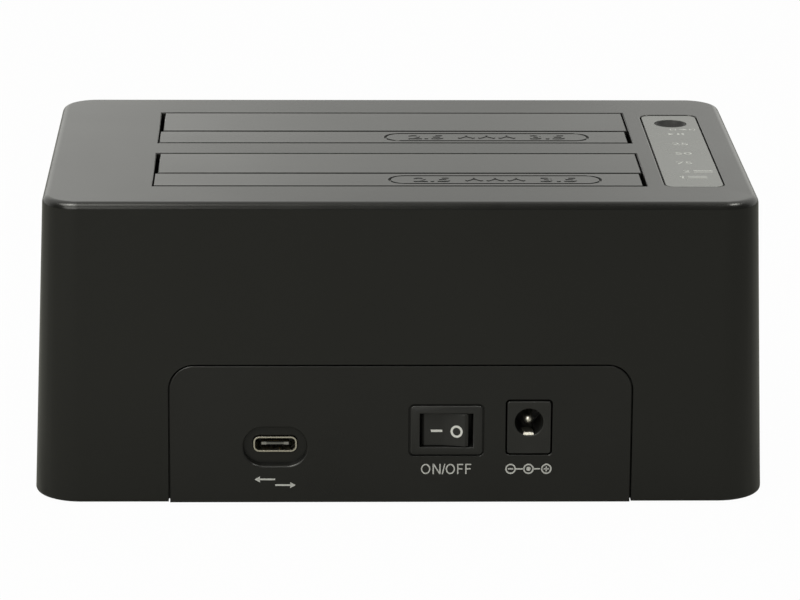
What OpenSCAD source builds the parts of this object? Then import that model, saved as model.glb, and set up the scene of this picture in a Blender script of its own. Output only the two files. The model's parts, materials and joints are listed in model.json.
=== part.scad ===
// Docking station for two bare hard drives: a drafted moulded housing with two drive slots,
// each closed by a narrow and a wide sprung flap, and a connector panel at the rear.
// Millimetres, +Z up, rear face towards -Y, origin on the standing surface under the middle.

$fn = 48;

/* [Housing] */
// Width across the top
top_w = 147; // [144:1:170]
// Top plate between the strip and the side edge
side_margin = 6.4; // [5:0.2:14]
// Top plate between a slot and the front or rear edge
slot_margin = 14; // [13.6:0.2:20]
// Height from the bottom edge to the top
body_h = 63.4; // [60:0.2:80]
// Lean of the side walls in degrees
draft = 2.1; // [0.5:0.1:3]
// Corner radius of the top, seen from above
corner_r = 7.5; // [6:0.5:10]
// Radius round the top edge
edge_r = 1.6; // [0.8:0.1:2.2]
// Radius round the bottom edge
skirt_r = 0.8; // [0.4:0.1:1.2]
// Side wall thickness
wall = 2.4; // [2:0.1:3]
// Top plate thickness
roof_t = 2.2; // [2:0.1:3]
// Corner posts, in from the side edges of the top
post_inset = 9; // [8.5:0.5:12]
// Gap between the corner posts and the drive wells
post_gap = 0.55; // [0.3:0.05:1]
// Corner post diameter
post_d = 6.5; // [6:0.5:9]
// Roof of the drive wells below the top plate
well_drop = 0.3; // [0.2:0.05:0.6]

/* [Drive slots] */
// Slot length
slot_l = 102.4; // [102:0.2:105]
// Slot width
slot_d = 28.4; // [28:0.2:32]
// Bar between the slots
slot_bar = 9.2; // [9.2:0.2:14]
// Slot edge to the middle of the seam between the flaps
narrow_w = 10.9; // [10:0.1:12]
// Seam between the flaps
seam = 0.9; // [0.7:0.1:1.4]
// Gap at a flap's close end
end_gap = 0.3; // [0.2:0.05:0.6]
// Gap at the wide flap's open end
wide_end_gap = 0.8; // [0.4:0.05:1.2]
// Gap at the narrow flap's open end
narrow_end_gap = 0.95; // [0.4:0.05:1.2]
// Gap along the hinged edge
hinge_gap = 0.5; // [0.4:0.1:0.8]
// Flap thickness
flap_t = 1.8; // [1.5:0.1:2.1]
// Length of the grooved oval on a narrow flap
oval_l = 44.6; // [30:0.2:60]
// Width of the grooved oval
oval_w = 7.2; // [5:0.1:8]
// Middle of the oval, right of the middle of the slot
oval_x = 19.9; // [0:0.1:24]
// Groove width
groove_w = 0.6; // [0.4:0.1:1]
// Groove depth
groove_t = 0.35; // [0.2:0.05:0.6]

/* [Flap hinges] */
// Hinge line outside the slot edge
hinge_out = 2.8; // [2.7:0.05:2.9]
// Hinge line below the top
hinge_down = 3.3; // [3.2:0.1:3.6]
// Hinge rod diameter
rod_d = 1.5; // [1.2:0.1:1.7]
// Knuckle diameter
knuckle_d = 3; // [2.8:0.1:3]
// Running clearance round a rod
rod_clear = 0.05; // [0.02:0.01:0.1]
// Top plate left over the hinges
hinge_roof_t = 1.5; // [1.2:0.1:1.6]
// Gap over a hinge arm, which stops the closed flap
stop_gap = 0.15; // [0.1:0.05:0.3]
// Middle of a hinge arm from the middle of the slot
arm_x = 36; // [30:1:40]
// Hinge arm width
arm_w = 7; // [5:0.5:9]
// Hinge arm length under the flap
arm_l = 3.2; // [2.5:0.1:4]
// Lug width
lug_w = 2.4; // [2:0.1:3]
// Side clearance between an arm and its lugs
lug_clear = 0.4; // [0.2:0.05:0.6]
// Spring wire diameter
wire_d = 0.4; // [0.3:0.05:0.5]
// Spring mean diameter
coil_d = 2.4; // [2.3:0.05:2.5]
// Spring pitch
coil_pitch = 0.95; // [0.9:0.05:1.2]
// Full turns of a spring
coil_turns = 5; // [3:1:7]
// Length of the spring leg under a flap
spring_leg = 4.2; // [3:0.2:6]
// Gap between a spring leg and what it presses
spring_gap = 0.1; // [0.05:0.05:0.2]

/* [Drive wells] */
// Well wall thickness
well_wall = 1.4; // [1.2:0.1:2]
// Clearance of a well round the slot ends
well_clear = 0.2; // [0.1:0.05:0.5]
// Pocket beside a slot for an open flap
flap_pocket = 1.8; // [1.7:0.1:2]
// Gap between the floor of a well and the board
floor_gap = 1.3; // [1.1:0.1:2]
// Floor thickness
floor_t = 1.6; // [1.2:0.1:2.4]
// Drive thickness that the ribs guide
drive_t = 26.6; // [26.2:0.1:27]
// Rib thickness
rib_t = 1.6; // [1.2:0.1:2.4]
// Outer ribs from the middle
rib_x = 45; // [40:1:48]
// Screw ears from the middle
ear_x = 42.5; // [38:0.5:46]
// Screw ear radius
ear_r = 3.5; // [3.2:0.1:4]
// Screw ear above the underside of the floor
ear_t = 1.2; // [1:0.1:2]
// Gap between an open flap and the ribs below it
rib_gap = 0.6; // [0.4:0.1:1]
// Lead-in at the top of a rib
rib_lead = 3; // [2:0.5:5]

/* [Base] */
// Base plate thickness
base_t = 2.4; // [2:0.1:3]
// Clearance of the base in the housing
base_clear = 0.15; // [0.1:0.05:0.3]
// Feet stand proud of the base
foot_h = 0.8; // [0.5:0.1:2]
// Foot diameter
foot_d = 10; // [8:0.5:12]
// Depth of a foot's recess
foot_sunk = 0.8; // [0.5:0.1:1]
// Screw shank diameter
screw_d = 2.6; // [2.2:0.1:3]
// Screw head diameter
head_d = 5; // [4.6:0.1:5.4]
// Screw head height
head_t = 1.5; // [1.2:0.1:2]
// Screw length
screw_l = 12; // [9:1:16]
// Width of the six-sided key recess in a screw
key_w = 2.2; // [1.8:0.1:2.6]
// Depth of the key recess
key_t = 0.7; // [0.5:0.1:0.9]
// Base plate between a screw head and its post
seat_t = 1.5; // [1.2:0.1:2]
// Rim round a foot's recess
foot_rim = 1; // [0.8:0.1:1.5]
// Screw holes beyond the tips
tip_clear = 1; // [0.5:0.1:2]
// Clearance round screws and pins
pin_clear = 0.05; // [0.02:0.01:0.1]
// Board support diameter
standoff_d = 6; // [5:0.5:8]
// Ventilation slot length
vent_l = 26; // [16:1:34]
// Ventilation slot width
vent_w = 2; // [1.5:0.1:3]
// Ventilation slots in a row
vent_count = 7; // [3:1:9]

/* [Boards] */
// Top of the main board above the bottom edge
board_h = 10.4; // [9.6:0.1:12]
// Main board thickness
board_t = 1.6; // [1.2:0.1:2]
// Main board edge to the housing
board_clear = 2.5; // [2:0.1:4]
// Gap between the board and the rear panel
board_gap = 0.6; // [0.4:0.1:1.5]
// Gap between the board and the corner posts
board_notch = 1; // [0.6:0.1:2]
// Drive socket length
socket_l = 43; // [42:0.5:46]
// Drive socket depth
socket_d = 5.6; // [5:0.1:6.5]
// Drive socket height
socket_h = 8.6; // [8:0.1:9]
// Drive socket middle, from the middle of the slot
socket_x = -24; // [-26:0.5:-20]
// Drive socket middle, from the slot's rear edge
socket_in = 5; // [4.4:0.1:6]
// Height of the drive socket's base
socket_base = 4.4; // [4:0.1:5]
// Clearance of the floor round a drive socket
socket_clear = 0.3; // [0.2:0.05:0.5]
// Thickness of the socket's tongues
tongue_t = 1.2; // [1:0.05:1.3]
// Gap between the signal tongue and the power tongue
tongue_gap = 2.4; // [2:0.1:3]
// Contact pitch
contact_pitch = 1.27; // [1:0.01:1.4]
// Contact width
contact_w = 0.8; // [0.6:0.05:0.9]
// Contact thickness
contact_t = 0.3; // [0.2:0.05:0.4]
// Bridge chip width
chip_w = 10; // [7:0.5:12]
// Capacitor diameter
cap_d = 6.3; // [5:0.1:8]
// Gap between the capacitors
cap_gap = 2; // [1:0.1:3]
// Capacitor height
cap_h = 8; // [5:0.5:12]
// Thickness of a capacitor's foot
cap_foot = 0.8; // [0.5:0.1:1.2]
// Inductor width
choke_w = 7; // [5:0.5:7.5]
// Inductor height
choke_h = 3; // [2:0.5:5]
// Inductor core diameter
core_d = 5.6; // [4:0.1:6.4]
// Core above the inductor's base
core_h = 1; // [0.5:0.1:1.5]

/* [Rear panel] */
// Panel width
panel_w = 95.2; // [90:0.2:98]
// Panel height
panel_h = 29.1; // [27:0.1:32]
// Panel corner radius
panel_r = 5; // [3:0.5:8]
// Seam round the panel
panel_seam = 0.3; // [0.2:0.05:0.5]
// Flange behind the housing wall
panel_lip = 2.4; // [1.5:0.1:4]
// Flange thickness
lip_t = 1.2; // [0.8:0.1:1.6]
// Data socket middle across
data_x = -25.9; // [-34:0.1:-16]
// Gap between the data socket and the board
data_gap = 0.2; // [0.2:0.02:1]
// Data socket shell width
data_w = 8.94; // [8.34:0.02:9.2]
// Data socket shell height
data_t = 3.26; // [2.56:0.02:3.4]
// Data socket shell length
data_l = 7.4; // [6:0.1:8]
// Radius of the shell's corners
data_r = 1.2; // [0.9:0.05:1.25]
// Data socket shell thickness
shell_t = 0.3; // [0.2:0.05:0.4]
// Thickness of the tongue in the data socket
blade_t = 0.7; // [0.6:0.05:0.8]
// Pocket round the data socket, width
pocket_w = 13.1; // [12:0.1:16]
// Pocket height
pocket_h = 8.2; // [7:0.1:9]
// Pocket middle below the middle of the socket
pocket_drop = 0.3; // [0:0.1:1]
// Pocket depth
pocket_t = 1.5; // [1:0.1:1.7]
// Data socket stands out of the pocket's floor
data_proud = 0.6; // [0.3:0.1:0.8]
// Clearance of the panel round the connectors
port_clear = 0.2; // [0.1:0.05:0.4]
// Clearance round the bezel and the jack's face
face_clear = 0.3; // [0.2:0.05:0.5]
// Rocker switch middle across
switch_x = 9.45; // [6:0.05:12]
// Gap between the switch body and the board
switch_gap = 0.65; // [0.3:0.05:2]
// Switch bezel width
bezel_w = 14.9; // [14:0.1:17]
// Switch bezel height
bezel_h = 10.4; // [10:0.1:13]
// Bezel corner radius
bezel_r = 0.8; // [0.4:0.1:1.2]
// Bezel beyond the switch body at the sides
bezel_side = 1; // [0.8:0.1:1.2]
// Bezel beyond the switch body above and below
bezel_edge = 0.8; // [0.6:0.1:1]
// Depth of the bezel's seat in the panel
bezel_sunk = 0.6; // [0.4:0.1:0.8]
// Bezel stands proud of the panel
bezel_proud = 0.35; // [0.3:0.05:0.4]
// Width of the bezel's sloping rim
rim_w = 1; // [0.4:0.1:1.4]
// Fall of the sloping rim
rim_t = 0.3; // [0.1:0.05:0.35]
// Switch opening width
mouth_w = 11; // [10:0.1:12]
// Switch opening height
mouth_h = 7.2; // [6.4:0.1:7.6]
// Switch opening depth
mouth_l = 7.2; // [7:0.1:7.4]
// Switch body depth behind the panel
switch_l = 9; // [8.6:0.1:9.4]
// Gap at the rocker's ends
rocker_gap = 0.6; // [0.6:0.05:1]
// Gap above and below the rocker
rocker_side = 0.15; // [0.1:0.05:0.3]
// Rocker pivot behind the panel's face
pivot_in = 3; // [2.8:0.1:3.2]
// Rocker pivot diameter
pivot_d = 1.6; // [1.2:0.1:2]
// Rocker pivot length in either side of the body
pivot_l = 0.55; // [0.4:0.05:0.7]
// Rocker's ends behind the panel's face
rocker_sunk = 0.05; // [0.05:0.05:0.2]
// Gap behind the rocker
rocker_room = 1.8; // [1.4:0.1:2.2]
// Rounding of the rocker's ends
rocker_nose = 0.7; // [0.5:0.1:0.9]
// Hollow in the middle of the rocker's face
rocker_dip = 0.45; // [0.3:0.05:0.7]
// Rocker tilt to either side in degrees
rocker_tilt = 7; // [5:0.5:8]
// Terminal blade width
terminal_w = 4; // [3:0.1:4.8]
// Terminal blade thickness
terminal_t = 0.8; // [0.5:0.1:1]
// Terminal blades from the middle
terminal_x = 3; // [2.6:0.1:3.2]
// Terminal blades inside the back of the body
terminal_in = 1.2; // [0.8:0.1:1.5]
// Terminal blade length behind the body
terminal_l = 2.5; // [1.5:0.1:2.6]
// Power jack middle across
jack_x = 26.5; // [23:0.1:30]
// Power jack width
jack_w = 9; // [9:0.1:10]
// Power jack height
jack_t = 11.2; // [11:0.1:12]
// Power jack corner radius
jack_r = 0.6; // [0.3:0.1:1]
// Power jack length
jack_l = 12; // [10:0.1:12.2]
// Barrel hole diameter
barrel_d = 5.9; // [5.4:0.1:6.4]
// Barrel hole middle above the board
barrel_h = 6.75; // [6.2:0.05:7]
// Barrel hole depth
barrel_l = 9.4; // [8:0.1:10]
// Centre pin diameter
pin_d = 2; // [1.6:0.1:2.5]
// Centre pin tip behind the face
pin_back = 1.8; // [1:0.1:3]
// Jack stands proud of the panel's middle
jack_proud = 0.1; // [0:0.05:0.2]
// Contact leaf width
leaf_w = 2.2; // [1.6:0.1:2.4]
// Contact leaf thickness
leaf_t = 0.5; // [0.3:0.05:0.6]
// Contact leaf behind the face
leaf_back = 0.8; // [0.6:0.1:2]

/* [Indicator strip] */
// Gap between the slots and the strip
strip_gap = 4; // [3.5:0.1:4.5]
// Strip width
strip_w = 11.9; // [11:0.1:12.4]
// Strip length
strip_l = 63.8; // [58:0.2:66]
// Middle of the strip behind the middle of the top
strip_back = 1.2; // [0:0.1:2]
// Strip corner radius
strip_r = 2; // [1:0.1:3]
// Strip thickness
strip_t = 1.2; // [1:0.1:1.3]
// Strip below the top
strip_sunk = 0.1; // [0:0.05:0.2]
// Groove round the strip
strip_groove = 0.35; // [0.2:0.05:0.5]
// Button diameter
button_d = 6.7; // [6:0.1:7.2]
// Button middle from the strip's front end
button_in = 7.4; // [6:0.1:9]
// Clearance round the button
button_clear = 0.2; // [0.1:0.05:0.3]
// Button flange beyond the button
button_lip = 1; // [0.6:0.1:1.2]
// Button flange thickness
button_lip_t = 1.2; // [0.8:0.1:1.4]
// Gap over the button's flange
button_gap = 0.1; // [0.05:0.05:0.2]
// Button plunger diameter
plunger_d = 3.2; // [2.4:0.1:3.6]
// Width of the button's switch
tact_w = 6; // [5:0.5:7]
// Height of the button's switch
tact_h = 3.2; // [2.8:0.1:3.3]
// Button travel
button_travel = 0.6; // [0.4:0.1:0.8]
// Depth of the dish in the button
dish_t = 1.6; // [0.6:0.1:2]
// Indicator board below the top plate
strip_board_gap = 5.6; // [5.4:0.1:8]
// Indicator board thickness
strip_board_t = 1.2; // [1:0.1:1.6]
// Indicator board screw diameter
small_d = 1.6; // [1.4:0.1:2]
// Indicator board screw length
small_l = 5; // [4:0.5:6]
// Indicator board screw head diameter
small_head_d = 3.4; // [3:0.1:4]
// Indicator board screw head height
small_head_t = 1.2; // [1:0.1:1.6]
// Indicator board boss diameter
boss_d = 5; // [4:0.5:6]
// Rear boss from the strip's rear end
boss_in = 4; // [3.5:0.5:6]
// Front boss from the middle of the button
boss_from_button = 7.2; // [7.2:0.1:9]
// Light pipe diameter
pipe_d = 2; // [1.6:0.1:2.4]
// Light pipe flange beyond the pipe
pipe_lip = 0.5; // [0.3:0.1:0.7]
// Light pipes between the bosses
pipe_count = 5; // [3:1:5]
// Outer light pipes from the bosses
pipe_in = 7; // [5:0.5:8]
// Status light width
light_w = 2; // [1.6:0.1:2.4]
// Status light height
light_h = 1; // [0.6:0.1:1.2]
// Flat cable width
cable_w = 8; // [6:0.5:9]
// Flat cable thickness
cable_t = 0.8; // [0.5:0.1:1]
// Cable connector length
plug_l = 10; // [9.5:0.5:11]
// Cable connector width
plug_w = 3.6; // [3:0.1:5]
// Cable connector height
plug_h = 2.6; // [2:0.1:4]

/* [Hidden] */

black = [0.09, 0.09, 0.09];
steel = [0.72, 0.73, 0.74];
green = [0.06, 0.22, 0.12];
gold = [0.83, 0.66, 0.3];

// Overlap that joins two shapes, overrun of a cut, and gap between faces that meet
bite = 0.1;
over = 1;
skin = 0.02;

top_d = 2 * (slot_d + slot_margin) + slot_bar;
base_z = foot_h;
top_z = foot_h + body_h;
roof_z = top_z - roof_t;
core_x = top_w / 2 - corner_r;
core_y = top_d / 2 - corner_r;
post_x = top_w / 2 - post_inset;

base_top = base_z + base_t;
head_z = base_z + foot_sunk + head_t + pin_clear;
seat_z = head_z + seat_t;
board_z = base_z + board_h;
floor_z = board_z + floor_gap;
well_x = slot_l / 2 + well_clear;
well_y = slot_d / 2 + flap_pocket;
ear_y = well_y + well_wall + ear_r;
post_y = bay_y(1) + well_y + well_wall + post_gap + post_d / 2;

arm_reach = hinge_gap + arm_l;
arm_top = -hinge_roof_t - stop_gap;
knuckle_r = knuckle_d / 2;
strip_x = top_w / 2 - side_margin - strip_w / 2;
bay_x = strip_x - strip_w / 2 - strip_gap - slot_l / 2;
strip_y0 = -strip_back - strip_l / 2;
strip_y1 = strip_y0 + strip_l;
strip_top = top_z - strip_sunk;
button_y = strip_y1 - button_in;
strip_board_z = roof_z - strip_board_gap;
boss_y = [strip_y0 + boss_in, button_y - boss_from_button];
pipe_y0 = boss_y[0] + pipe_in;
pipe_pitch = (boss_y[1] - pipe_in - pipe_y0) / (pipe_count - 1);
link_y = boss_y[1] - pipe_in - pipe_pitch / 2;
plug_z = strip_board_z - strip_board_t - plug_h;

data_z = board_z + data_gap + data_t / 2;
data_face = rear_y(data_z) + pocket_t - data_proud;
body_w = bezel_w - 2 * bezel_side;
body_t = bezel_h - 2 * bezel_edge;
switch_z = board_z + switch_gap + body_t / 2;
jack_z = board_z + jack_t / 2;
jack_face = rear_y(jack_z) - jack_proud;

// Outward spread of a side wall at height z
function spread(z) = (top_z - z) * tan(draft);
// Rear face at height z
function rear_y(z) = -top_d / 2 - spread(z);
// Middle of a bay, at the rear for -1 and at the front for 1
function bay_y(bay) = bay * (slot_d + slot_bar) / 2;
// Points along an arc
function arc(c, r, from, to, steps) =
    [for (i = [0:steps]) c + r * [cos(from + (to - from) * i / steps), sin(from + (to - from) * i / steps)]];
// Middle of a fillet that rounds the wall at height z
function fillet_c(z, r) = [corner_r + spread(z) - r / cos(draft), z];

// Quarter disc in the first quadrant
module quarter(r) {
    intersection() {
        circle(r);
        square(r);
    }
}

// Half disc on the +X side
module half(r) {
    intersection() {
        circle(r);
        translate([0, -r]) square([r, 2 * r]);
    }
}

// Rectangle with round corners
module rounded(w, h, r) {
    square([w, h - 2 * r], center = true);
    square([w - 2 * r, h], center = true);
    for (k = [0:3])
        translate([(k == 0 || k == 3 ? 1 : -1) * (w / 2 - r), (k < 2 ? 1 : -1) * (h / 2 - r)])
            rotate(90 * k) quarter(r);
}

// Slot outline with round ends
module stadium(w, h) {
    square([w - h, h], center = true);
    for (k = [0, 1])
        mirror([k, 0]) translate([(w - h) / 2, 0]) half(h / 2);
}

// Panel outline that stands on its bottom edge, with round top corners
module arched(w, h, r) {
    translate([-w / 2, 0]) square([w, h - r]);
    translate([-w / 2 + r, 0]) square([w - 2 * r, h]);
    for (k = [0, 1])
        mirror([k, 0]) translate([w / 2 - r, h - r]) quarter(r);
}

// Carries a wall profile, outward and up, round the four sides and corners of the housing
module round_housing() {
    for (k = [0:3])
        translate([(k == 0 || k == 3 ? 1 : -1) * core_x, (k < 2 ? 1 : -1) * core_y, 0])
            rotate(90 * k) rotate_extrude(angle = 90) children();
    for (k = [0, 1]) {
        mirror([k, 0, 0]) translate([core_x, 0, 0]) rotate([90, 0, 0])
            linear_extrude(height = 2 * core_y, center = true) children();
        mirror([0, k, 0]) translate([0, core_y, 0]) rotate([90, 0, 90])
            linear_extrude(height = 2 * core_x, center = true) children();
    }
}

// Upright prism along Y from y0 to y1
module through_y(x, y0, y1, z) {
    translate([x, y1, z]) rotate([90, 0, 0]) linear_extrude(height = y1 - y0) children();
}

// Prism along X, its outline in Y and Z
module along_x(x0, x1) {
    translate([x0, 0, 0]) rotate([90, 0, 90]) linear_extrude(height = x1 - x0) children();
}

// Light pipes in a row under the strip
module at_pipes() {
    for (i = [0:pipe_count - 1])
        translate([strip_x, pipe_y0 + i * pipe_pitch, 0]) children();
}

// Four corner posts
module at_posts() {
    for (sx = [-1, 1], sy = [-1, 1])
        translate([sx * post_x, sy * post_y, 0]) children();
}

// Four ears of the drive wells
module at_ears() {
    for (sx = [-1, 1], bay = [-1, 1])
        translate([bay_x + sx * ear_x, bay_y(bay) + bay * ear_y, 0]) children();
}

// Outline of the indicator strip, grown by a gap
module strip_outline(gap) {
    rounded(strip_w + 2 * gap, strip_l + 2 * gap, strip_r + gap);
}

// Frame on a slot's hinged edge: +Y into the slot, Z from the top
module at_edge(bay, side) {
    translate([bay_x, bay_y(bay) + side * slot_d / 2, top_z]) mirror([0, side > 0 ? 1 : 0, 0]) children();
}

// Frame on the rear face: Y inward, Z up along the face
module on_rear(x, z) {
    translate([x, rear_y(z), z]) rotate([-draft, 0, 0]) children();
}

// Screw that points up, with its head below the origin
module screw(d, length, head, head_h) {
    cylinder(d = d, h = length);
    translate([0, 0, -head_h]) difference() {
        cylinder(d = head, h = head_h);
        translate([0, 0, -over]) cylinder(d = key_w * d / screw_d, h = over + key_t, $fn = 6);
    }
}

// Upper housing

module outer_profile() {
    up = fillet_c(top_z - edge_r, edge_r);
    low = fillet_c(base_z + skirt_r, skirt_r);
    polygon(concat(
        [[0, base_z]],
        arc(low, skirt_r, -90, draft, 6),
        arc(up, edge_r, draft, 90, 8),
        [[0, top_z]]
    ));
}

module inner_profile() {
    low = base_z - over;
    polygon([
        [0, low],
        [corner_r - wall + spread(low), low],
        [corner_r - wall + spread(roof_z), roof_z],
        [0, roof_z],
    ]);
}

module lug() {
    along_x(0, lug_w) difference() {
        union() {
            translate([-hinge_out - knuckle_r, -hinge_down]) square([knuckle_d, hinge_down - hinge_roof_t]);
            translate([-hinge_out, -hinge_down]) rotate(-90) half(knuckle_r);
        }
        translate([-hinge_out, -hinge_down]) circle(d = rod_d + 2 * rod_clear);
    }
}

module hinge_lugs() {
    for (x = [-arm_x, arm_x], k = [0, 1])
        translate([x + (k == 0 ? -1 : 1) * (arm_w / 2 + lug_clear) - (k == 0 ? lug_w : 0), 0, 0]) lug();
}

module upper_housing() {
    relief_y = hinge_out + knuckle_r + hinge_gap / 2;
    relief_t = roof_t - hinge_roof_t;
    color(black) {
        difference() {
            union() {
                difference() {
                    union() {
                        round_housing() outer_profile();
                        translate([-core_x, -core_y, base_z]) cube([2 * core_x, 2 * core_y, body_h]);
                    }
                    round_housing() inner_profile();
                    translate([-core_x, -core_y, base_z - over])
                        cube([2 * core_x, 2 * core_y, roof_z - base_z + over]);
                }
                at_posts() translate([0, 0, seat_z]) cylinder(d = post_d, h = roof_z - seat_z);
                for (y = boss_y)
                    translate([strip_x, y, strip_board_z]) cylinder(d = boss_d, h = strip_board_gap);
            }
            for (bay = [-1, 1]) {
                translate([bay_x - slot_l / 2, bay_y(bay) - slot_d / 2, roof_z - over])
                    cube([slot_l, slot_d, roof_t + 2 * over]);
                for (side = [-1, 1])
                    at_edge(bay, side) translate([-slot_l / 2, -relief_y, -roof_t - over])
                        cube([slot_l, relief_y + bite, relief_t + over]);
            }
            translate([strip_x, -strip_back, strip_top - strip_t]) linear_extrude(height = strip_t + over)
                strip_outline(strip_groove);
            translate([strip_x, button_y, roof_z - over])
                cylinder(d = button_d + 2 * button_clear, h = roof_t + 2 * over);
            at_pipes() translate([0, 0, roof_z - over])
                cylinder(d = pipe_d + 2 * pin_clear, h = roof_t + 2 * over);
            for (y = boss_y)
                translate([strip_x, y, strip_board_z - over])
                    cylinder(d = small_d + 2 * pin_clear, h = over + small_l - strip_board_t + tip_clear);
            at_posts() translate([0, 0, seat_z - over])
                cylinder(d = screw_d + 2 * pin_clear, h = over + screw_l - seat_t + tip_clear);
            through_y(0, -top_d, rear_y(base_z + panel_h) + wall + panel_seam, base_z - over)
                arched(panel_w + 2 * panel_seam, panel_h + panel_seam + over, panel_r + panel_seam);
        }
        for (bay = [-1, 1], side = [-1, 1])
            at_edge(bay, side) hinge_lugs();
    }
}

// Base and feet

module base_plate() {
    grow = spread(base_top) - wall - base_clear;
    vent_pitch = 2.5 * vent_w;
    color(black) difference() {
        union() {
            translate([0, 0, base_z]) linear_extrude(height = base_t)
                rounded(top_w + 2 * grow, top_d + 2 * grow, corner_r + grow);
            intersection() {
                translate([0, 0, base_z]) linear_extrude(height = seat_z - base_z)
                    rounded(top_w + 2 * grow, top_d + 2 * grow, corner_r + grow);
                at_posts() cylinder(d = foot_d + 2 * foot_rim, h = seat_z);
            }
            at_ears() translate([0, 0, base_z]) cylinder(d = standoff_d, h = board_z - board_t - base_z);
        }
        at_posts() {
            translate([0, 0, base_z - over]) cylinder(d = foot_d + 2 * pin_clear, h = foot_sunk + over);
            translate([0, 0, base_z]) cylinder(d = head_d + 4 * pin_clear, h = head_z - base_z);
            translate([0, 0, base_z]) cylinder(d = screw_d + 2 * pin_clear, h = seat_z);
        }
        at_ears() translate([0, 0, base_top]) cylinder(d = screw_d + 2 * pin_clear, h = board_z);
        for (side = [-1, 1], i = [0:vent_count - 1])
            translate([(i - (vent_count - 1) / 2) * vent_pitch, bay_y(side), base_z - over])
                linear_extrude(height = base_t + 2 * over) rotate(90) stadium(vent_l, vent_w);
    }
}

module rubber_feet() {
    color([0.16, 0.16, 0.16]) at_posts() cylinder(d = foot_d, h = foot_h + foot_sunk);
}

module housing_screws() {
    color(steel) at_posts() translate([0, 0, head_z]) screw(screw_d, screw_l, head_d, head_t);
}

// Drive wells

module rib(top) {
    inner = (slot_d - drive_t) / 2;
    along_x(-rib_t / 2, rib_t / 2) polygon([
        [-flap_pocket - bite, floor_z + floor_t - top_z - bite],
        [inner, floor_z + floor_t - top_z - bite],
        [inner, top - rib_lead - top_z],
        [-flap_pocket - bite, top - top_z],
    ]);
}

module bay_well(bay) {
    hinge_z = top_z - hinge_down - hinge_out;
    tip_narrow = hinge_z - narrow_w + seam / 2;
    tip_wide = hinge_z - slot_d + narrow_w + seam / 2;
    side_top = hinge_z - arm_reach - rib_gap;
    outer_x = well_x + well_wall;
    outer_y = well_y + well_wall;
    well_h = roof_z - well_drop - floor_z;
    ear_h = floor_gap + ear_t;
    color([0.12, 0.12, 0.12]) translate([bay_x, bay_y(bay), 0]) difference() {
        union() {
            difference() {
                translate([-outer_x, -outer_y, floor_z]) cube([2 * outer_x, 2 * outer_y, well_h]);
                translate([-well_x, -well_y, floor_z + floor_t]) cube([2 * well_x, 2 * well_y, body_h]);
                translate([-well_x, -outer_y - over, side_top])
                    cube([2 * well_x, 2 * (outer_y + over), body_h]);
            }
            for (x = [-rib_x, -rib_x / 3, rib_x / 3, rib_x]) translate([x - bay_x, -bay_y(bay), 0]) {
                at_edge(bay, -1) rib(tip_narrow - rib_gap);
                at_edge(bay, 1) rib(tip_wide - rib_gap);
            }
            for (sx = [-1, 1]) {
                translate([sx * ear_x, bay * ear_y, board_z]) cylinder(r = ear_r, h = ear_h);
                translate([sx * ear_x - ear_r, bay > 0 ? well_y + bite : -ear_y, board_z])
                    cube([2 * ear_r, ear_r + well_wall - bite, ear_h]);
            }
        }
        for (sx = [-1, 1])
            translate([sx * ear_x, bay * ear_y, board_z - over])
                cylinder(d = screw_d + 4 * pin_clear, h = ear_h + 2 * over);
        translate([socket_x, socket_in - slot_d / 2, board_z])
            linear_extrude(height = floor_gap + floor_t + over) square(
                [socket_l + 2 * socket_clear, socket_d + 2 * socket_clear], center = true);
    }
}

module rear_bay_well() {
    bay_well(-1);
}

module front_bay_well() {
    bay_well(1);
}

// Flaps and their hinges

module flap_arm() {
    arm_toe = arm_l / 4;
    along_x(-arm_w / 2, arm_w / 2) difference() {
        union() {
            translate([-hinge_out, -hinge_down]) circle(d = knuckle_d);
            polygon([
                [-hinge_out, arm_top],
                [hinge_gap, arm_top],
                [hinge_gap, 2 * bite - flap_t],
                [arm_reach, 2 * bite - flap_t],
                [arm_reach, -flap_t - arm_toe],
                [hinge_gap + arm_toe, -hinge_down - knuckle_r / 2],
                [-hinge_out, -hinge_down - knuckle_r / 2],
            ]);
        }
        translate([-hinge_out, -hinge_down]) circle(d = rod_d + 2 * rod_clear);
    }
}

module flap(bay, side, width, left_gap, right_gap) {
    color(black) at_edge(bay, side) {
        difference() {
            translate([-slot_l / 2 + left_gap, hinge_gap, -flap_t])
                cube([slot_l - left_gap - right_gap, width - seam / 2 - hinge_gap, flap_t]);
            if (side < 0)
                translate([oval_x, (width - seam / 2 + hinge_gap) / 2, -groove_t])
                    linear_extrude(height = over) difference() {
                        stadium(oval_l, oval_w);
                        stadium(oval_l - 2 * groove_w, oval_w - 2 * groove_w);
                    }
        }
        for (x = [-arm_x, arm_x]) translate([x, 0, 0]) flap_arm();
    }
}

module rear_narrow_flap() {
    flap(-1, -1, narrow_w, end_gap, narrow_end_gap);
}

module rear_wide_flap() {
    flap(-1, 1, slot_d - narrow_w, wide_end_gap, end_gap);
}

module front_narrow_flap() {
    flap(1, -1, narrow_w, end_gap, narrow_end_gap);
}

module front_wide_flap() {
    flap(1, 1, slot_d - narrow_w, wide_end_gap, end_gap);
}

module hinge_rod(bay, side) {
    reach = arm_x + arm_w / 2 + lug_clear + lug_w + rod_d / 2;
    color(steel) at_edge(bay, side) translate([-reach, -hinge_out, -hinge_down]) rotate([0, 90, 0])
        cylinder(d = rod_d, h = 2 * reach);
}

module rear_narrow_rod() {
    hinge_rod(-1, -1);
}

module rear_wide_rod() {
    hinge_rod(-1, 1);
}

module front_narrow_rod() {
    hinge_rod(1, -1);
}

module front_wide_rod() {
    hinge_rod(1, 1);
}

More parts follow.
